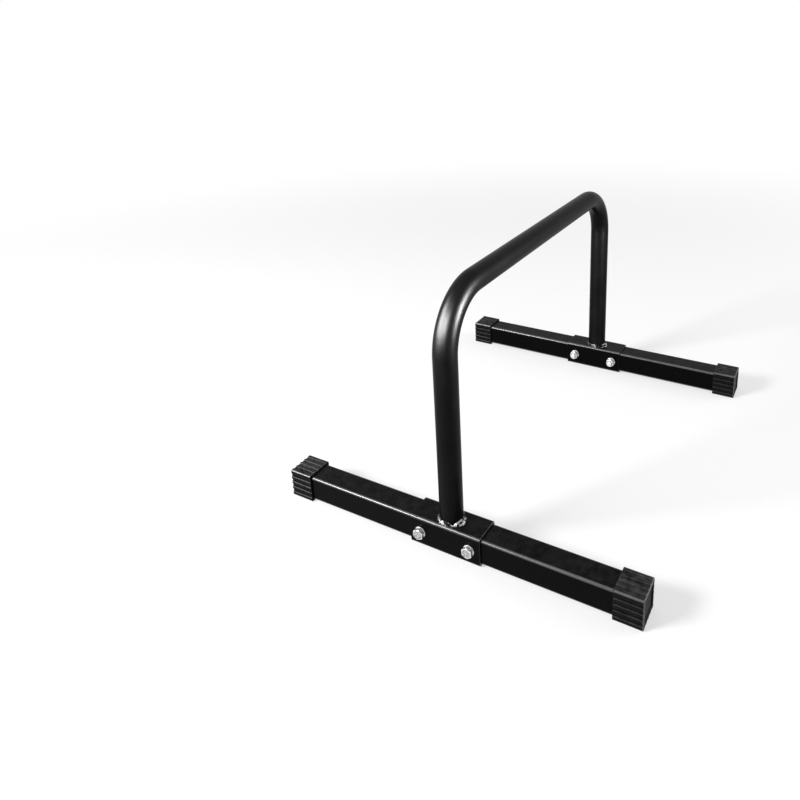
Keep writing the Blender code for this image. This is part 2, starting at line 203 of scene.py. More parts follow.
def closed_mesh(name, grid, ring=False):
    """A closed mesh on a grid of points (row, column, xyz) whose columns close on themselves.

    With ring the rows close too, as on a tube with its bore. Otherwise the first and the last row each
    end in a point at their middle. Each quad joins a point to its neighbours in the next row and
    column, and all faces are turned over if the volume that they enclose comes out negative.
    """
    rows, columns = grid.shape[:2]
    row = np.arange(rows if ring else rows - 1)[:, None]
    column = np.arange(columns)[None, :]
    beside = (column + 1) % columns
    below = (row + 1) % rows
    here, there = row * columns, below * columns
    ends = (here + column, here + beside, there + beside, there + column)
    quads = np.stack(np.broadcast_arrays(*ends), axis=-1).reshape(-1, 4)
    points = grid.reshape(-1, 3)
    fans = np.empty((0, 3), int)
    if not ring:
        first = rows * columns
        rim = np.arange(columns)
        after = (rim + 1) % columns
        last_row = first - columns
        points = np.vstack([points, grid[0].mean(axis=0), grid[-1].mean(axis=0)])
        start = np.stack([np.full(columns, first), after, rim], axis=-1)
        end = np.stack([np.full(columns, first + 1), last_row + rim, last_row + after], axis=-1)
        fans = np.vstack([start, end])
    triangles = np.vstack([quads[:, :3], quads[:, [0, 2, 3]], fans])
    a, b, c = (points[triangles[:, k]] for k in range(3))
    if (np.cross(a, b) * c).sum() < 0:
        quads, fans = quads[:, ::-1], fans[:, ::-1]
    mesh = bpy.data.meshes.new(name)
    mesh.from_pydata(points.tolist(), [], quads.tolist() + fans.tolist())
    piece = bpy.data.objects.new(name, mesh)
    bpy.context.scene.collection.objects.link(piece)
    return piece


def edge_marks(mesh, reach, along_y=True):
    """How tightly the surface curves outwards at each vertex.

    The curvature along a mesh edge is the change of the normal along it over its length. A vertex
    takes the largest of its edges, softened by averages with its neighbours, times the radius reach,
    and held between 0 and 1. Without along_y, edges that run along Y don't count.
    """
    count = len(mesh.vertices)
    place = np.empty(count * 3)
    normal = np.empty(count * 3)
    pairs = np.empty(len(mesh.edges) * 2, int)
    mesh.vertices.foreach_get("co", place)
    mesh.vertices.foreach_get("normal", normal)
    mesh.edges.foreach_get("vertices", pairs)
    a, b = pairs.reshape(-1, 2).T
    step = place.reshape(-1, 3)[b] - place.reshape(-1, 3)[a]
    turn = normal.reshape(-1, 3)[b] - normal.reshape(-1, 3)[a]
    curve = (turn * step).sum(axis=1) / np.maximum((step**2).sum(axis=1), 1e-12)
    if not along_y:
        curve = curve * (np.abs(step[:, 1]) < ACROSS_SHARE * np.linalg.norm(step, axis=1))
    most = np.zeros(count)
    np.maximum.at(most, a, curve)
    np.maximum.at(most, b, curve)
    links = np.maximum(np.bincount(np.concatenate([a, b]), minlength=count), 1)
    for _ in range(EDGE_SOFTENING):
        around = np.bincount(a, most[b], count) + np.bincount(b, most[a], count)
        most = (most + around / links) / 2
    return np.clip(most * reach, 0.0, 1.0)


def store_edges(mesh, marks):
    """Keeps the marks on the vertices, as the attribute edge."""
    mesh.attributes.new("edge", "FLOAT", "POINT").data.foreach_set("value", marks)


def finish_piece(piece, node, finish, reach=TUBE_EDGE_REACH, crease_deg=50):
    """Shades the piece, gives it its finish and puts it in its node's place."""
    piece.data.shade_smooth()
    piece.data.set_sharp_from_angle(angle=math.radians(crease_deg))
    if "edge" not in piece.data.attributes:
        store_edges(piece.data, edge_marks(piece.data, reach))
    piece.data.materials.append(finish)
    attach(piece, "root")
    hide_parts(node)


def eased(profile, ease, steps=4, ring=False):
    """Rounds the bends of a profile, an array of (point, ..., value).

    Each bend gives way to a quadratic curve that leaves and meets its two sides at the distance ease,
    or on a short side at the share BEND_LIMIT of it. Distance is measured on the first two values, and
    the others follow.
    """
    if ring:
        before, here, after = np.roll(profile, 1, axis=0), profile, np.roll(profile, -1, axis=0)
    else:
        before, here, after = profile[:-2], profile[1:-1], profile[2:]

    def towards(side):
        length = np.linalg.norm((side - here)[..., :2], axis=-1, keepdims=True)
        return here + (side - here) * np.minimum(ease / np.maximum(length, 1e-9), BEND_LIMIT)

    shape = (1, steps + 1) + (1,) * (profile.ndim - 1)
    t = np.linspace(0.0, 1.0, steps + 1).reshape(shape)
    leaves, meets = towards(before)[:, None], towards(after)[:, None]
    bend = (1 - t) ** 2 * leaves + 2 * t * (1 - t) * here[:, None] + t**2 * meets
    rounded = bend.reshape((-1,) + profile.shape[1:])
    return rounded if ring else np.concatenate([profile[:1], rounded, profile[-1:]])


def grip_surface():
    """The U tube: a circle carried up the front leg, round two quarter bends and down the rear leg.

    A point lies at the path plus the radius times the cosine of its angle along the path's outer
    normal and the sine along Y. In the bends the outer part of the section is slightly flattened. The
    bore goes back inside, one wall closer to the path, so that the rows close on themselves.
    """
    low, high = corners("grip_bar")
    radius = (high[1] - low[1]) / 2
    leg = high[0] - radius
    top = high[2] - radius
    shoulder = top - BEND_RADIUS
    reach = leg - BEND_RADIUS
    bend = np.linspace(0.0, np.pi / 2, BEND_ROWS)
    rise = np.linspace(low[2], shoulder, STRAIGHT_ROWS)[:-1]
    along = np.linspace(-reach, reach, STRAIGHT_ROWS)[1:-1]
    flat = np.zeros_like
    x = np.concatenate([flat(rise) - leg, -reach - BEND_RADIUS * np.cos(bend), along,
                        reach + BEND_RADIUS * np.sin(bend), flat(rise) + leg])
    z = np.concatenate([rise, shoulder + BEND_RADIUS * np.sin(bend), flat(along) + top,
                        shoulder + BEND_RADIUS * np.cos(bend), rise[::-1]])
    quarter = np.pi / 2
    heading = np.concatenate([flat(rise), bend, flat(along) + quarter, quarter + bend, flat(rise) + np.pi])
    flattening = np.sin(2 * bend)
    oval = 1 - BEND_OVAL * np.concatenate([flat(rise), flattening, flat(along), flattening, flat(rise)])
    x, z, heading, oval = (np.concatenate([v, v[::-1]])[:, None] for v in (x, z, heading, oval))
    half = len(x) // 2
    size = np.where(np.arange(2 * half) < half, radius, radius - GRIP_WALL)[:, None]
    angle = np.linspace(0.0, 2 * np.pi, GRIP_SIDES, endpoint=False)[None, :]
    out = size * np.cos(angle) * oval
    y = size * np.sin(angle) + 0 * out
    grid = np.stack([x - out * np.cos(heading), y, z + out * np.sin(heading)], axis=-1)
    return closed_mesh("bent_grip_tube", grid, ring=True)


def square_loop(half, corner, shares, dip=None):
    """Loops round squares with rounded corners, in X and Z, one for each half side and corner radius.

    Each side is a flat run whose points lie at the shares of its half length, then a quarter arc. The
    other three sides are quarter turns of the first. dip, if given, sinks the flat run's points.
    """
    half, corner = np.broadcast_arrays(np.asarray(half, float)[:, None], np.asarray(corner, float)[:, None])
    run = (half - corner) * np.asarray(shares)[None, :]
    sunk = -half + (0.0 if dip is None else dip(run))
    turn = np.linspace(-np.pi / 2, 0.0, CORNER_STEPS + 1)[None, :-1]
    across = np.concatenate([run, half - corner + corner * np.cos(turn)], axis=1)
    up = np.concatenate([sunk + 0 * run, corner - half + corner * np.sin(turn)], axis=1)
    sides = ((across, up), (-up, across), (-across, -up), (up, -across))
    return np.concatenate([np.stack(side, axis=-1) for side in sides], axis=1)


def lay_along_y(loops, y, centre):
    """A grid of points from loops in X and Z, one for each place y along the foot."""
    grid = np.empty(loops.shape[:2] + (3,))
    grid[..., 0] = centre[0] + loops[..., 0]
    grid[..., 1] = np.asarray(y)[:, None]
    grid[..., 2] = centre[2] + loops[..., 1]
    return grid


def square_tube(name, node, corner, wall):
    """A square tube along Y: its section's four corners are outside and inside at each end, all eased."""
    low, high = corners(node)
    half = (high[2] - low[2]) / 2
    inner = corner - wall
    near_left, near_right = high[1] - END_SUPPORT, low[1] + END_SUPPORT
    profile = np.array([
        (low[1], half, corner),
        (near_right, half, corner),
        (near_left, half, corner),
        (high[1], half, corner),
        (high[1], half - wall, inner),
        (near_left, half - wall, inner),
        (near_right, half - wall, inner),
        (low[1], half - wall, inner),
    ])
    rows = eased(profile, CUT_EDGE, ring=True)
    loops = square_loop(rows[:, 1], rows[:, 2], FLAT_SHARES)
    return closed_mesh(name, lay_along_y(loops, rows[:, 0], (low + high) / 2), ring=True)


def drill(tube, foot):
    """Cuts the two bolt holes through both walls, on the axes of the foot's bolts.

    The edges are marked first, so that the holes' own rims count as flat.
    """
    store_edges(tube.data, edge_marks(tube.data, TUBE_EDGE_REACH, along_y=False))
    for side in ("left", "right"):
        low, high = corners(f"{foot}_bolt_{side}")
        axis = (low + high) / 2
        profile = np.array([(low[0] - HOLE_OVERRUN, BOLT_HOLE), (high[0] + HOLE_OVERRUN, BOLT_HOLE)])
        profile = np.repeat(profile[:, None], HOLE_SIDES, axis=1)
        cutter = turned("hole_cutter", profile, 0.0, 1.0, axis)
        cut = tube.modifiers.new("hole", "BOOLEAN")
        cut.operation = "DIFFERENCE"
        cut.solver = "EXACT"
        cut.object = cutter
        bpy.context.view_layer.update()
        drilled = bpy.data.meshes.new_from_object(tube.evaluated_get(bpy.context.evaluated_depsgraph_get()))
        tube.modifiers.clear()
        tube.data = drilled
        bpy.data.objects.remove(cutter, do_unlink=True)


def rib_dip(run, pitch):
    """Depth of the cap's grooves at distances from the middle of a side.

    Each groove is deepest at its middle and falls off by the fourth power of the distance from there,
    which leaves its floor nearly flat and its walls steep. A soft maximum with zero rounds its lips.
    """
    middles = (np.arange(GROOVES) - (GROOVES - 1) / 2) * pitch
    away = np.abs(run[..., None] - middles).min(axis=-1)
    arc = GROOVE_DEPTH * (1 - (2 * away / GROOVE_WIDTH) ** 4)
    return GROOVE_LIP * np.logaddexp(0.0, arc / GROOVE_LIP)


def end_cap(name, node, outward, tube_half):
    """A ribbed rubber cap: from the pocket's bottom out over the mouth, along the ribs and in over the end.

    The profile holds the distance from the closed end, the half side, the corner radius and the share
    of the groove depth. Its bends are eased, and each row is a rounded square. Its edges are marked
    while the sides are still plain. Then the grooves are sunk in, and their lips are marked by
    RIB_SHARE of their curvature. The mouth stays unmarked, and the end face with its sunk panel is
    marked evenly.
    """
    low, high = corners(node)
    half = (high[2] - low[2]) / 2
    length = high[1] - low[1]
    pitch = 2 * (half - GROOVE_BORDER) / (GROOVES - 1)
    pocket = tube_half + CAP_GRIP
    pocket_corner = FOOT_CORNER + CAP_GRIP
    panel = half - PANEL_RIM
    bottom = eased(np.array([
        (CAP_END_WALL, *FACE_MIDDLE, 0.0),
        (CAP_END_WALL, pocket, pocket_corner, 0.0),
        (length, pocket, pocket_corner, 0.0),
        (length, half, CAP_CORNER, MOUTH_GROOVE_SHARE),
        (length - END_SUPPORT, half, CAP_CORNER, 1.0),
        (length / 2, half, CAP_CORNER, 1.0),
    ]), MOUTH_EDGE)[:-1]
    outside = eased(np.array([
        (length / 2, half, CAP_CORNER, 1.0),
        (2 * END_SUPPORT, half, CAP_CORNER, 1.0),
        (0.0, half, CAP_CORNER, 1.0),
        (0.0, half - PANEL_RIM / 2, CAP_CORNER, RIM_GROOVE_SHARE),
    ]), END_EDGE, steps=8)[:-1]
    sunk = eased(np.array([
        (0.0, half - PANEL_RIM / 2, CAP_CORNER, 0.0),
        (0.0, panel, PANEL_CORNER, 0.0),
        (PANEL_DEPTH, panel, PANEL_CORNER, 0.0),
        (PANEL_DEPTH, *FACE_MIDDLE, 0.0),
    ]), PANEL_EDGE)
    rows = np.concatenate([bottom, outside, sunk])
    shares = np.linspace(-1.0, 1.0, RIB_SAMPLES, endpoint=False)
    end = high[1] if outward > 0 else low[1]
    y = end - outward * rows[:, 0]
    centre = (low + high) / 2
    cap = closed_mesh(name, lay_along_y(square_loop(rows[:, 1], rows[:, 2], shares), y, centre))
    plain = edge_marks(cap.data, CAP_EDGE_REACH)
    grooved = square_loop(rows[:, 1], rows[:, 2], shares, dip=lambda run: rows[:, 3:] * rib_dip(run, pitch))
    place = np.empty(len(cap.data.vertices) * 3)
    cap.data.vertices.foreach_get("co", place)
    place[:grooved.shape[0] * grooved.shape[1] * 3] = lay_along_y(grooved, y, centre).ravel()
    cap.data.vertices.foreach_set("co", place)
    cap.data.update()
    marks = np.maximum(plain, RIB_SHARE * edge_marks(cap.data, CAP_EDGE_REACH))
    in_mouth = rows[:, 0] > length - END_SUPPORT / 2
    on_face = (np.arange(len(rows)) >= len(bottom)) & (rows[:, 1] < half - END_EDGE)
    for chosen, mark in ((in_mouth, 0.0), (on_face, END_SHARE)):
        marks[np.flatnonzero(np.repeat(chosen, grooved.shape[1]))] = mark
    store_edges(cap.data, marks)
    return cap


def hexagon(angle):
    """Distance from the axis to a hexagon's side at an angle, its corners rounded by HEX_EDGE.

    Along a flat it is the inradius over the cosine of the angle from the flat's middle. Near a corner
    it is where the ray meets the corner's circle.
    """
    off_flat = (angle + np.pi / 6) % (np.pi / 3) - np.pi / 6
    off_corner = angle % (np.pi / 3) - np.pi / 6
    corner = (HEX_INRADIUS - HEX_EDGE) / math.cos(np.pi / 6)
    flat_reach = (HEX_INRADIUS - HEX_EDGE) * math.tan(np.pi / 6)
    on_flat = np.abs(np.tan(off_flat)) * HEX_INRADIUS <= flat_reach
    chord = np.sqrt(np.maximum(HEX_EDGE**2 - (corner * np.sin(off_corner)) ** 2, 0.0))
    return np.where(on_flat, HEX_INRADIUS / np.cos(off_flat), corner * np.cos(off_corner) + chord)


def crowned(height, side):
    """Two profile points where a hexagon's side meets its crown, and where the crown meets the flat top."""
    flat = HEX_INRADIUS - HEX_FACE_INSET
    slope = HEX_CROWN / (HEX_INRADIUS / math.cos(np.pi / 6) - flat)
    return (height - slope * np.maximum(side - flat, 0.0), side), (height + 0 * side, flat + 0 * side)


def turned(name, profile, seat, facing, axis, spin=0.0, ring=False):
    """A surface round an axis along X, from a profile of (height over the seat, distance) for each angle.

    A point lies at the seat plus its height times the facing along X, and its distance times the
    cosine and sine of its angle, turned by spin, along Y and Z.
    """
    angle = np.linspace(0.0, 2 * np.pi, profile.shape[1], endpoint=False)[None, :] + spin
    height, radius = profile[..., 0], profile[..., 1]
    across, up = axis[1] + radius * np.cos(angle), axis[2] + radius * np.sin(angle)
    return closed_mesh(name, np.stack([seat + facing * height, across, up], axis=-1), ring=ring)


def stacked(*points):
    """Profile points, each a pair of numbers or arrays over the angle, as one array."""
    around = np.zeros(FASTENER_SIDES)
    return np.stack([np.stack([height + around, radius + around], axis=-1) for height, radius in points])


def angles():
    """The angles of a fastener's profile points."""
    return np.linspace(0.0, 2 * np.pi, FASTENER_SIDES, endpoint=False)


def thread(tip, length):
    """Rows of the bolt's threaded end: the radius falls by a raised cosine of the height less the angle.

    The thread runs out over its first turn, and the tip has a plain chamfer.
    """
    height = np.linspace(tip + length, tip, 1 + round(ROWS_PER_TURN * length / THREAD_PITCH))[:, None]
    around = angles()[None, :] / (2 * np.pi)
    groove = 0.5 - 0.5 * np.cos(2 * np.pi * (height / THREAD_PITCH - around))
    run_out = np.clip((tip + length - height) / THREAD_PITCH, 0.0, 1.0)
    chamfer = np.clip(1 - (height - tip) / TIP_CHAMFER_LENGTH, 0.0, 1.0) * TIP_CHAMFER_DEPTH
    radius = np.minimum(BOLT_RADIUS - THREAD_DEPTH * groove * run_out, BOLT_RADIUS - chamfer)
    return np.stack([height + 0 * around, radius], axis=-1)


def hex_bolt(name, node, facing, seat, spin):
    """A hexagon bolt: crowned head on its seat, round shank and a threaded, chamfered tip."""
    low, high = corners(node)
    axis = (low + high) / 2
    length = high[0] - low[0] - HEAD_HEIGHT
    side = hexagon(angles())
    wall, face = crowned(HEAD_HEIGHT, side)
    head = stacked(
        (HEAD_HEIGHT, HEAD_MIDDLE),
        face,
        wall,
        (0.0, side),
        (0.0, BOLT_RADIUS),
        (-THREAD_PITCH, BOLT_RADIUS),
    )
    tip = stacked((-length, TIP_MIDDLE))
    profile = np.concatenate([eased(head, FASTENER_EDGE), thread(-length, THREAD_LENGTH), tip])
    return turned(name, profile, seat, facing, axis, spin)


def eased_ring(name, inner, outer, thickness, seat, facing, axis):
    """A ring whose section's four corners are eased."""
    section = stacked((0.0, inner), (0.0, outer), (thickness, outer), (thickness, inner))
    return turned(name, eased(section, FASTENER_EDGE, ring=True), seat, facing, axis, ring=True)


def lock_nut(name, node, seat, facing, spin):
    """A lock nut: crowned hexagon, round collar with its lip rolled in over the ring, and a plain bore."""
    low, high = corners(node)
    height = high[0] - low[0]
    side = hexagon(angles())
    wall, face = crowned(NUT_HEX_HEIGHT, side)
    pocket = height - POCKET_DEPTH
    profile = stacked(
        (0.0, NUT_BORE + NUT_BORE_CHAMFER),
        (0.0, side - NUT_FOOT_CHAMFER),
        (NUT_EDGE, side),
        wall,
        face,
        (NUT_HEX_HEIGHT, NUT_COLLAR_RADIUS),
        (height, NUT_COLLAR_RADIUS),
        (height, NUT_LIP_RADIUS),
        (height - LIP_SLOPE[0], NUT_LIP_RADIUS + LIP_SLOPE[1]),
        (height - LIP_THICKNESS, POCKET_RADIUS),
        (pocket, POCKET_RADIUS),
        (pocket, NUT_BORE),
        (NUT_BORE_CHAMFER, NUT_BORE),
    )
    rounded = eased(profile, NUT_EDGE, ring=True)
    return turned(name, rounded, seat, facing, (low + high) / 2, spin, ring=True)


def weld_bead(name, node, leg_radius, sleeve_node, cover_and_dimming):
    """A fillet weld round the leg: rows from the leg down to the sleeve, ring after ring of ripples.

    Each section runs from the leg to the toe on the sleeve and bulges by a sine between them. Its
    height and width follow three slow sines, and swell or shrink by bell curves at two thick chunks
    and a dip. Ripples are a sine of the angle whose phase runs ahead towards both sides, which bows
    them, and lumps are a product of two sines. The toe follows the sleeve's top and its rounded edges.
    The last rows go back underneath, sunk into both tubes. A point attribute says where metal shows,
    partly weld metal and partly painted highlights: most on the chunks, less in the dip and on the rear.
    """
    low, high = corners(node)
    centre = (low + high) / 2
    sleeve_low, sleeve_high = corners(sleeve_node)
    top = sleeve_high[2]
    flat = (sleeve_high[0] - sleeve_low[0]) / 2 - SLEEVE_CORNER
    angle = np.linspace(0.0, 2 * np.pi, WELD_COLUMNS, endpoint=False)[None, :]

    def bell(at_deg, spread_deg):
        """A bell curve of the angle round the leg."""
        off = (angle - math.radians(at_deg) + np.pi) % (2 * np.pi) - np.pi
        return np.exp(-0.5 * (off / math.radians(spread_deg)) ** 2)

    def fall(out):
        """How far the sleeve's rounded edges have dropped below its top at distances from the leg's axis."""
        over = np.clip(np.abs(out * np.cos(angle)) - flat, 0.0, SLEEVE_CORNER)
        return SLEEVE_CORNER - np.sqrt(SLEEVE_CORNER**2 - over**2)

    wobble = 0.25 * np.sin(3 * angle + 0.7) + 0.18 * np.sin(7 * angle + 2.1) + 0.12 * np.sin(13 * angle)
    left_chunk, right_chunk, dip = bell(*LEFT_CHUNK_DEG), bell(*RIGHT_CHUNK_DEG), bell(*DIP_DEG)
    swells = np.stack([wobble, left_chunk, right_chunk, dip])
    width = WELD_WIDTH * (1 + np.tensordot(WIDTH_SHARES, swells, 1))
    height = WELD_HEIGHT * (1 + np.tensordot(HEIGHT_SHARES, swells, 1))
    share = np.linspace(0.0, 1.0, WELD_ROWS)[:, None]
    bulge = WELD_BULGE * np.minimum(width, height) * np.sin(np.pi * share)
    bow = RIPPLE_BOW * (2 * share - 1) ** 2
    wave = np.sin(RIPPLES * angle + 3 * bow + 2.5 * np.sin(5 * angle))
    lump = np.sin(19 * angle + 4 * share + 1.3) * np.sin(11 * angle - 5 * share)
    ripple = RIPPLE_HEIGHT * np.sin(np.pi * share) * (wave + LUMP_SHARE * lump)
    proud = (bulge + ripple) * BULGE_TURN
    out = leg_radius - WELD_SINK + (width + WELD_SINK) * share + proud
    up = height * (1 - share) ** WELD_HOLLOW - fall(out) + proud - WELD_SINK * share
    under = np.linspace(0.8, 0.0, WELD_UNDER_ROWS)[:, None]
    under_out = leg_radius - WELD_SINK + (width + WELD_SINK) * under
    under_up = -3 * WELD_SINK - fall(under_out)
    out, up = np.concatenate([out, under_out]), np.concatenate([up, under_up])
    grid = np.stack([centre[0] + out * np.cos(angle), centre[1] + out * np.sin(angle), top + up], axis=-1)
    bead = closed_mesh(name, grid, ring=True)
    # share of metal: partly weld metal, partly painted highlights on the chunks; less in the dip and on the
    # rear weld
    always, on_chunks, in_dip = BARE_AND_PAINTED_HIGHLIGHT_SHARES
    bare_and_painted_highlight = always + on_chunks * (left_chunk + right_chunk) - in_dip * dip - cover_and_dimming
    bare_and_painted_highlight = np.clip(bare_and_painted_highlight, 0.0, 1.0) + 0 * out
    bead.data.attributes.new("bare_and_painted_highlight", "FLOAT", "POINT").data.foreach_set("value", bare_and_painted_highlight.ravel())
    return bead


def add(tree, kind, **values):
    """A node of the kind. Capitalised values set its inputs, with _ for a space, and others its settings."""
    node = tree.nodes.new(kind)
    for name, value in values.items():
        if name[0].isupper():
            node.inputs[name.replace("_", " ")].default_value = value
        else:
            setattr(node, name, value)
    return node


def wire(tree, *steps):
    """Links pairs of (node, output) and (node, input)."""
    for (source, output), (target, socket) in steps:
        tree.links.new(source.outputs[output], target.inputs[socket])


def new_group(name, inputs, outputs):
    """An empty shader node group with named inputs (socket kind and default) and outputs."""
    tree = bpy.data.node_groups.new(name, "ShaderNodeTree")
    for label, (kind, default) in inputs.items():
        tree.interface.new_socket(label, in_out="INPUT", socket_type=kind).default_value = default
    for label, kind in outputs.items():
        tree.interface.new_socket(label, in_out="OUTPUT", socket_type=kind)
    return tree, tree.nodes.new("NodeGroupInput"), tree.nodes.new("NodeGroupOutput")


def surface_texture_group():
    """Height of a moulded or sprayed skin: soft lumps of one size and a finer grain on them."""
    number = "NodeSocketFloat"
    tree, given, result = new_group(
        "skin_texture",
        {"Lumps": (number, 700.0), "Grain": (number, 3000.0), "Grain Share": (number, 0.3)},
        {"Height": number},
    )
    where = add(tree, "ShaderNodeTexCoord")
    lumps = add(tree, "ShaderNodeTexNoise", Detail=1.5, Roughness=0.5)
    grain = add(tree, "ShaderNodeTexNoise", Detail=2.0, Roughness=0.6)
    both = add(tree, "ShaderNodeMix", data_type="FLOAT")
    wire(
        tree,
        ((where, "Object"), (lumps, "Vector")),
        ((where, "Object"), (grain, "Vector")),
        ((given, "Lumps"), (lumps, "Scale")),
        ((given, "Grain"), (grain, "Scale")),
        ((given, "Grain Share"), (both, MIX_FACTOR)),
        ((lumps, "Fac"), (both, MIX_NUMBERS[0])),
        ((grain, "Fac"), (both, MIX_NUMBERS[1])),
        ((both, MIXED_NUMBER), (result, "Height")),
    )
    return tree


def handling_group():
    """A value that wanders between two ends: broad smudges of handling, with finer ones on them."""
    number = "NodeSocketFloat"
    tree, given, result = new_group(
        "handling",
        {"Least": (number, 0.2), "Most": (number, 0.4), "Smudges": (number, 35.0)},
        {"Value": number},
    )
    where = add(tree, "ShaderNodeTexCoord")
    smudges = add(tree, "ShaderNodeTexNoise", Detail=4.0, Roughness=0.65)
    scale = add(tree, "ShaderNodeMapRange", From_Min=0.32, From_Max=0.68)
    wire(
        tree,
        ((where, "Object"), (smudges, "Vector")),
        ((given, "Smudges"), (smudges, "Scale")),
        ((smudges, "Fac"), (scale, "Value")),
        ((given, "Least"), (scale, "To Min")),
        ((given, "Most"), (scale, "To Max")),
        ((scale, "Result"), (result, "Value")),
    )
    return tree


def edge_wear_group():
    """A mask from the piece's edge attribute, which rises between From and To, broken up by a noise."""
    number = "NodeSocketFloat"
    tree, given, result = new_group(
        "edge_wear",
        {"From": (number, 0.4), "To": (number, 0.9), "Broken": (number, 0.5), "Patches": (number, 180.0)},
        {"Mask": number},
    )
    where = add(tree, "ShaderNodeTexCoord")
    edge = add(tree, "ShaderNodeAttribute", attribute_name="edge")
    rise = add(tree, "ShaderNodeMapRange", interpolation_type="SMOOTHSTEP")
    patches = add(tree, "ShaderNodeTexNoise", Detail=3.0)
    spread = add(tree, "ShaderNodeMapRange", From_Min=0.35, From_Max=0.6)
    least = add(tree, "ShaderNodeMath", operation="SUBTRACT")
    least.inputs[0].default_value = 1.0
    mask = add(tree, "ShaderNodeMath", operation="MULTIPLY")
    wire(
        tree,
        ((edge, "Fac"), (rise, "Value")),
        ((given, "From"), (rise, "From Min")),
        ((given, "To"), (rise, "From Max")),
        ((where, "Object"), (patches, "Vector")),
        ((given, "Patches"), (patches, "Scale")),
        ((patches, "Fac"), (spread, "Value")),
        ((given, "Broken"), (least, 1)),
        ((least, "Value"), (spread, "To Min")),
        ((rise, "Result"), (mask, 0)),
        ((spread, "Result"), (mask, 1)),
        ((mask, "Value"), (result, "Mask")),
    )
    return tree


def dust_group():
    """A colour that turns to dust in fine uneven patches, mostly where the surface looks up."""
    tree, given, result = new_group(
        "dust",
        {
            "Clean": ("NodeSocketColor", (0.0, 0.0, 0.0, 1.0)),
            "Dust": ("NodeSocketColor", (0.2, 0.2, 0.2, 1.0)),
            "Amount": ("NodeSocketFloat", 0.1),
        },
        {"Color": "NodeSocketColor"},
    )
    shape = add(tree, "ShaderNodeNewGeometry")
    parts = add(tree, "ShaderNodeSeparateXYZ")
    up = add(tree, "ShaderNodeMapRange", From_Min=0.2, From_Max=1.0, To_Min=0.08)
    where = add(tree, "ShaderNodeTexCoord")
    patches = add(tree, "ShaderNodeTexNoise", Scale=90.0, Detail=6.0, Roughness=0.7)
    spread = add(tree, "ShaderNodeMapRange", From_Min=0.35, From_Max=0.75)
    lying = add(tree, "ShaderNodeMath", operation="MULTIPLY")
    share = add(tree, "ShaderNodeMath", operation="MULTIPLY")
    blend = add(tree, "ShaderNodeMix", data_type="RGBA")
    wire(
        tree,
        ((shape, "Normal"), (parts, "Vector")),
        ((parts, "Z"), (up, "Value")),
        ((where, "Object"), (patches, "Vector")),
        ((patches, "Fac"), (spread, "Value")),
        ((up, "Result"), (lying, 0)),
        ((spread, "Result"), (lying, 1)),
        ((lying, "Value"), (share, 0)),
        ((given, "Amount"), (share, 1)),
        ((share, "Value"), (blend, MIX_FACTOR)),
        ((given, "Clean"), (blend, MIX_COLOURS[0])),
        ((given, "Dust"), (blend, MIX_COLOURS[1])),
        ((blend, MIXED_COLOUR), (result, "Color")),
    )
    return tree


def place_group(tree, group, **values):
    """A group placed in a material, its inputs set."""
    return add(tree, "ShaderNodeGroup", node_tree=group, **values)


def new_finish(name, **values):
    """A material with one Principled shader whose plain values are set, and its tree and shader."""
    material = bpy.data.materials.new(name)
    material.use_nodes = True
    shader = material.node_tree.nodes["Principled BSDF"]
    for label, value in values.items():
        shader.inputs[label.replace("_", " ")].default_value = value
    return material, material.node_tree, shader


def grey(value):
    """An opaque grey."""
    return (value, value, value, 1.0)


def relief(tree, shader, skin, depth):
    """Feeds a skin's height to the shader's normal."""
    bump = add(tree, "ShaderNodeBump", Strength=1.0, Distance=depth)
    wire(tree, ((skin, "Height"), (bump, "Height")), ((bump, "Normal"), (shader, "Normal")))


def powder_coat(name, groups, dusty):
    """Black powder coat: orange peel, handling smudges, dust by the amount dusty and glossier edges.

    The paint itself reflects weakly, and where the edge mask lets it, a second glossy layer lies over it.
    """
    material, tree, shader = new_finish(
        name,
        Specular_IOR_Level=0.034,
        Coat_Roughness=0.32,
        Coat_IOR=1.75,
    )
    dust = place_group(tree, groups["dust"], Clean=grey(0.0010), Dust=grey(0.10), Amount=dusty)
    rough = place_group(tree, groups["handling"], Least=0.30, Most=0.36, Smudges=30.0)
    worn = place_group(tree, groups["edge"], From=0.55, To=0.98, Broken=0.08, Patches=90.0)
    skin = place_group(tree, groups["skin"], Lumps=620.0, Grain=2600.0, Grain_Share=0.08)
    relief(tree, shader, skin, 0.00016)
    wire(
        tree,
        ((dust, "Color"), (shader, "Base Color")),
        ((rough, "Value"), (shader, "Roughness")),
        ((worn, "Mask"), (shader, "Coat Weight")),
    )
    return material


def cap_rubber(groups):
    """Black moulded rubber: dull, finely grained and dusty, its edges and end faces rubbed glossier."""
    material, tree, shader = new_finish(
        "black_rubber",
        Specular_IOR_Level=0.03,
        Coat_Roughness=0.34,
        Coat_IOR=1.75,
    )
    dust = place_group(tree, groups["dust"], Clean=grey(0.003), Dust=grey(0.16), Amount=0.31)
    rough = place_group(tree, groups["handling"], Least=0.48, Most=0.66, Smudges=60.0)
    worn = place_group(tree, groups["edge"], From=0.40, To=0.75, Broken=0.12, Patches=120.0)
    skin = place_group(tree, groups["skin"], Lumps=1400.0, Grain=5200.0, Grain_Share=0.5)
    relief(tree, shader, skin, 0.00006)
    wire(
        tree,
        ((dust, "Color"), (shader, "Base Color")),
        ((rough, "Value"), (shader, "Roughness")),
        ((worn, "Mask"), (shader, "Coat Weight")),
    )
    return material


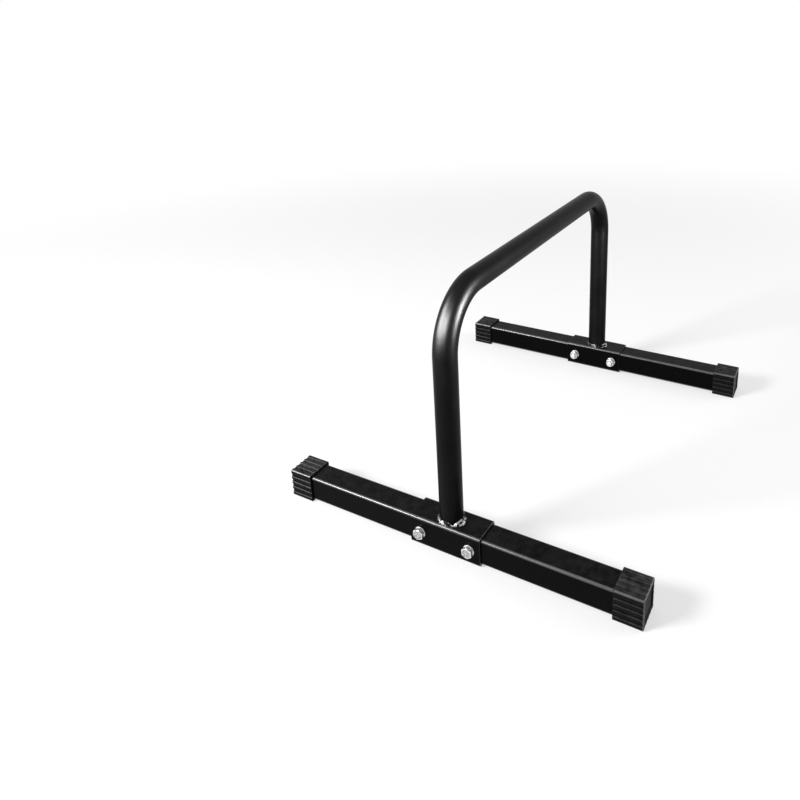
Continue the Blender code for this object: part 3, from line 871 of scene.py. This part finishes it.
def zinc_plate(name, groups, dull, bright, rubbed_tone):
    """Zinc plate: metal mottled between the greys dull and bright, with its edges of rubbed_tone."""
    material, tree, shader = new_finish(name, Metallic=1.0)
    where = add(tree, "ShaderNodeTexCoord")
    mottle = add(tree, "ShaderNodeTexNoise", Scale=420.0, Detail=4.0, Roughness=0.6)
    tone = add(tree, "ShaderNodeMapRange", From_Min=0.40, From_Max=0.60, To_Min=dull, To_Max=bright)
    colour = add(tree, "ShaderNodeCombineColor")
    rough = place_group(tree, groups["handling"], Least=0.34, Most=0.48, Smudges=500.0)
    worn = place_group(tree, groups["edge"], From=0.30, To=0.80, Broken=0.3, Patches=600.0)
    rubbed = add(tree, "ShaderNodeMix", data_type="RGBA")
    rubbed.inputs[MIX_COLOURS[1]].default_value = grey(rubbed_tone)
    skin = place_group(tree, groups["skin"], Lumps=1500.0, Grain=6000.0, Grain_Share=0.4)
    relief(tree, shader, skin, 0.00005)
    wire(
        tree,
        ((where, "Object"), (mottle, "Vector")),
        ((mottle, "Fac"), (tone, "Value")),
        ((tone, "Result"), (colour, "Red")),
        ((tone, "Result"), (colour, "Green")),
        ((tone, "Result"), (colour, "Blue")),
        ((worn, "Mask"), (rubbed, MIX_FACTOR)),
        ((colour, "Color"), (rubbed, MIX_COLOURS[0])),
        ((rubbed, MIXED_COLOUR), (shader, "Base Color")),
        ((rough, "Value"), (shader, "Roughness")),
    )
    return material


def weld_metal(groups):
    """Metal, part real and part painted highlight, where an attribute plus noise is high; burnt paint
    elsewhere.
    """
    material, tree, shader = new_finish("weld_metal", Specular_IOR_Level=0.03)
    where = add(tree, "ShaderNodeTexCoord")
    patches = add(tree, "ShaderNodeTexNoise", Scale=250.0, Detail=2.5, Roughness=0.5)
    thick = add(tree, "ShaderNodeAttribute", attribute_name="bare_and_painted_highlight")
    sum_up = add(tree, "ShaderNodeMath", operation="MULTIPLY_ADD")
    sum_up.inputs[1].default_value = 0.16
    # where the share is high the weld turns metallic grey: partly weld metal, partly painted highlights
    bare_and_painted_highlight = add(tree, "ShaderNodeMapRange", From_Min=0.58, From_Max=0.67)
    colour = add(tree, "ShaderNodeMix", data_type="RGBA")
    colour.inputs[MIX_COLOURS[0]].default_value = grey(0.006)
    colour.inputs[MIX_COLOURS[1]].default_value = grey(0.30)
    rough = place_group(tree, groups["handling"], Least=0.30, Most=0.48, Smudges=400.0)
    skin = place_group(tree, groups["skin"], Lumps=900.0, Grain=3600.0, Grain_Share=0.3)
    relief(tree, shader, skin, 0.00003)
    wire(
        tree,
        ((where, "Object"), (patches, "Vector")),
        ((thick, "Fac"), (sum_up, 0)),
        ((patches, "Fac"), (sum_up, 2)),
        ((sum_up, "Value"), (bare_and_painted_highlight, "Value")),
        ((bare_and_painted_highlight, "Result"), (colour, MIX_FACTOR)),
        ((bare_and_painted_highlight, "Result"), (shader, "Metallic")),
        ((colour, MIXED_COLOUR), (shader, "Base Color")),
        ((rough, "Value"), (shader, "Roughness")),
    )
    return material


def nylon(groups):
    """Dark grey nylon, slightly waxy."""
    material, tree, shader = new_finish("dark_nylon", Specular_IOR_Level=0.4)
    dust = place_group(tree, groups["dust"], Clean=grey(0.03), Dust=grey(0.3), Amount=0.1)
    rough = place_group(tree, groups["handling"], Least=0.4, Most=0.55, Smudges=300.0)
    skin = place_group(tree, groups["skin"], Lumps=2500.0, Grain=7000.0, Grain_Share=0.4)
    relief(tree, shader, skin, 0.00004)
    wire(tree, ((dust, "Color"), (shader, "Base Color")), ((rough, "Value"), (shader, "Roughness")))
    return material


def build_bar(finishes):
    """All pieces of the bar, foot by foot."""
    grip_low, grip_high = corners("grip_bar")
    leg_radius = (grip_high[1] - grip_low[1]) / 2
    finish_piece(grip_surface(), "grip_bar", finishes["grip_coat"], reach=0.0)
    for foot, facing in (("front", -1.0), ("rear", 1.0)):
        build_foot(foot, facing, leg_radius, finishes)


def build_foot(foot, facing, leg_radius, finishes):
    """A foot with its sleeve, weld, caps and fasteners. facing is the way its outer side looks along X."""
    for label, node, corner, wall in (
        ("square_foot", "foot_tube", FOOT_CORNER, FOOT_WALL),
        ("square_sleeve", "sleeve", SLEEVE_CORNER, SLEEVE_WALL),
    ):
        tube = square_tube(f"{foot}_{label}", f"{foot}_{node}", corner, wall)
        drill(tube, foot)
        finish_piece(tube, f"{foot}_{node}", finishes["coat"])
    # the rear weld gets less metal: partly paint run over it, partly fewer painted highlights, so it is
    # darker
    cover_and_dimming = REAR_WELD_COVER_AND_DIMMING if foot == "rear" else 0.0
    bead = weld_bead(f"{foot}_fillet_weld", f"{foot}_weld_bead", leg_radius, f"{foot}_sleeve", cover_and_dimming)
    weld = finishes["weld"]
    finish_piece(bead, f"{foot}_weld_bead", weld, SMALL_EDGE_REACH, WELD_CREASE_DEG)
    foot_low, foot_high = corners(f"{foot}_foot_tube")
    for number, (side, outward) in enumerate((("left", 1.0), ("right", -1.0))):
        node = f"{foot}_cap_{side}"
        cap = end_cap(f"{foot}_ribbed_cap_{side}", node, outward, (foot_high[2] - foot_low[2]) / 2)
        finish_piece(cap, node, finishes["rubber"])
        spin = FIRST_SPIN + SIDE_SPIN * number + FOOT_SPIN * facing
        fasten(foot, side, facing, spin, finishes)


def fasten(foot, side, facing, spin, finishes):
    """A bolt with its washers and lock nut: the head on the foot's outer face, the nut on the inner one."""

    def seat_on(node, way):
        """Where a node's box ends along X, looking the way that is given."""
        return corners(node)[int(way > 0)][0]

    def fit(piece, node, finish):
        """Finishes a small piece."""
        finish_piece(piece, node, finishes[finish], reach=SMALL_EDGE_REACH)

    bolt = f"{foot}_bolt_{side}"
    nut = f"{foot}_lock_nut_{side}"
    insert = f"{foot}_nut_insert_{side}"
    head_seat = seat_on(bolt, facing) - facing * HEAD_HEIGHT
    fit(hex_bolt(f"{foot}_hex_bolt_{side}", bolt, facing, head_seat, spin), bolt, "zinc")
    washer_low, washer_high = corners(f"{foot}_head_washer_{side}")
    radius = (washer_high[2] - washer_low[2]) / 2
    low, high = corners(bolt)
    for label, way in (("head", facing), ("nut", -facing)):
        node = f"{foot}_{label}_washer_{side}"
        seat = seat_on(f"{foot}_sleeve", way) + way * SEAT_GAP
        name = f"{foot}_flat_washer_{label}_{side}"
        washer = eased_ring(name, WASHER_BORE, radius, WASHER_THICKNESS, seat, way, (low + high) / 2)
        fit(washer, node, "washer")
    nut_piece = lock_nut(f"{foot}_collar_nut_{side}", nut, seat_on(nut, facing), -facing, spin + NUT_SPIN)
    fit(nut_piece, nut, "zinc")
    low, high = corners(insert)
    outer = (high[2] - low[2]) / 2
    name = f"{foot}_nylon_ring_{side}"
    ring = eased_ring(name, BOLT_RADIUS + NYLON_GAP, outer, high[0] - low[0], low[0], 1.0, (low + high) / 2)
    fit(ring, insert, "nylon")


def softbox(name, place, aim, size, power, glint=False):
    """A rectangular area lamp at a place, facing the aim. Cameras don't see it.

    A glint lamp is a strip for highlights: it shows in glossy surfaces and adds no light to dull ones.
    """
    lamp = bpy.data.lights.new(name, "AREA")
    lamp.shape = "RECTANGLE"
    lamp.size, lamp.size_y = size
    lamp.energy = power
    box = bpy.data.objects.new(name, lamp)
    bpy.context.scene.collection.objects.link(box)
    box.location = place
    box.rotation_euler = (Vector(place) - Vector(aim)).to_track_quat("Z", "Y").to_euler()
    box.visible_camera = False
    box.visible_diffuse = not glint
    return box


def light_only(lamps, piece):
    """Lets the lamps light one piece and nothing else."""
    pieces = bpy.data.collections.new("lit_by_strips")
    pieces.objects.link(piece)
    for lamp in lamps:
        lamp.light_linking.receiver_collection = pieces


def seen_rays(tree):
    """1 for rays that should find the plain white background: camera, glossy and transmission rays."""
    path = add(tree, "ShaderNodeLightPath")
    first = add(tree, "ShaderNodeMath", operation="MAXIMUM")
    both = add(tree, "ShaderNodeMath", operation="MAXIMUM")
    wire(
        tree,
        ((path, "Is Camera Ray"), (first, 0)),
        ((path, "Is Glossy Ray"), (first, 1)),
        ((first, "Value"), (both, 0)),
        ((path, "Is Transmission Ray"), (both, 1)),
    )
    return both


def white_world():
    """The world: plain white where it is seen, and a weaker even fill where it lights the object."""
    world = bpy.data.worlds.new("studio")
    bpy.context.scene.world = world
    world.use_nodes = True
    tree = world.node_tree
    strength = add(tree, "ShaderNodeMapRange", To_Min=WORLD_FILL, To_Max=1.0)
    background = tree.nodes["Background"]
    background.inputs["Color"].default_value = grey(1.0)
    wire(
        tree,
        ((seen_rays(tree), "Value"), (strength, "Value")),
        ((strength, "Result"), (background, "Strength")),
    )


def pale_floor():
    """A round pale floor that takes the shadow.

    Where it is seen, plain white is mixed in, more and more with the distance from the bar. It is a
    disc of rings whose radii grow by the square of their number.
    """
    ring = np.linspace(0.0, 1.0, FLOOR_RINGS)[1:, None] ** 2 * FLOOR_RADIUS
    angle = np.linspace(0.0, 2 * np.pi, FLOOR_SIDES, endpoint=False)[None, :]
    grid = np.stack([ring * np.cos(angle), ring * np.sin(angle), 0 * ring * angle], axis=-1)
    rows, columns = grid.shape[:2]
    corner = np.arange(rows - 1)[:, None] * columns + np.arange(columns)[None, :]
    beside = np.arange(rows - 1)[:, None] * columns + (np.arange(columns)[None, :] + 1) % columns
    quads = np.stack([corner, corner + columns, beside + columns, beside], axis=-1).reshape(-1, 4)
    middle = [list(range(columns))]
    mesh = bpy.data.meshes.new("floor")
    mesh.from_pydata(grid.reshape(-1, 3).tolist(), [], quads.tolist() + middle)
    floor = bpy.data.objects.new("floor", mesh)
    bpy.context.scene.collection.objects.link(floor)
    material, tree, shader = new_finish("pale_floor", Roughness=1.0, Specular_IOR_Level=0.0)
    shader.inputs["Base Color"].default_value = grey(0.90)
    shape = add(tree, "ShaderNodeNewGeometry")
    away = add(tree, "ShaderNodeVectorMath", operation="LENGTH")
    fade = add(
        tree,
        "ShaderNodeMapRange",
        interpolation_type="SMOOTHSTEP",
        From_Min=FLOOR_FADE[0],
        From_Max=FLOOR_FADE[1],
        To_Min=FLOOR_WHITE_NEAR,
    )
    seen = seen_rays(tree)
    share = add(tree, "ShaderNodeMath", operation="MULTIPLY")
    white = add(tree, "ShaderNodeEmission", Strength=1.0)
    mix = add(tree, "ShaderNodeMixShader")
    wire(
        tree,
        ((shape, "Position"), (away, 0)),
        ((away, "Value"), (fade, "Value")),
        ((fade, "Result"), (share, 0)),
        ((seen, "Value"), (share, 1)),
        ((share, "Value"), (mix, 0)),
        ((shader, "BSDF"), (mix, 1)),
        ((white, "Emission"), (mix, 2)),
        ((mix, "Shader"), (tree.nodes["Material Output"], "Surface")),
    )
    mesh.materials.append(material)


def set_camera():
    """The camera at the photo's viewing angle."""
    data = bpy.data.cameras.new("camera")
    data.lens = LENS
    data.sensor_width = SENSOR
    data.shift_x, data.shift_y = SHIFT
    camera = bpy.data.objects.new("camera", data)
    camera.location = CAMERA_PLACE
    camera.rotation_euler = [math.radians(v) for v in CAMERA_TURN_DEG]
    bpy.context.scene.collection.objects.link(camera)
    bpy.context.scene.camera = camera


bpy.context.scene.view_settings.view_transform = "Standard"
set_camera()
white_world()
pale_floor()
for label, place, size, watts in SOFTBOXES:
    softbox(label, place, CENTRE, size, watts)
strips = [
    softbox(label, place, aim, size, brightness * math.pi * size[0] * size[1], glint=True)
    for label, place, aim, size, brightness in STRIPS
]
effects = {
    "skin": surface_texture_group(),
    "handling": handling_group(),
    "edge": edge_wear_group(),
    "dust": dust_group(),
}
finishes = {
    "coat": powder_coat("black_powder_coat", effects, 0.11),
    "grip_coat": powder_coat("handled_powder_coat", effects, 0.02),
    "rubber": cap_rubber(effects),
    "zinc": zinc_plate("bright_zinc", effects, 0.24, 0.64, 0.95),
    "washer": zinc_plate("dull_zinc", effects, 0.24, 0.60, 0.90),
    "weld": weld_metal(effects),
    "nylon": nylon(effects),
}
build_bar(finishes)
light_only(strips, bpy.data.objects["bent_grip_tube"])
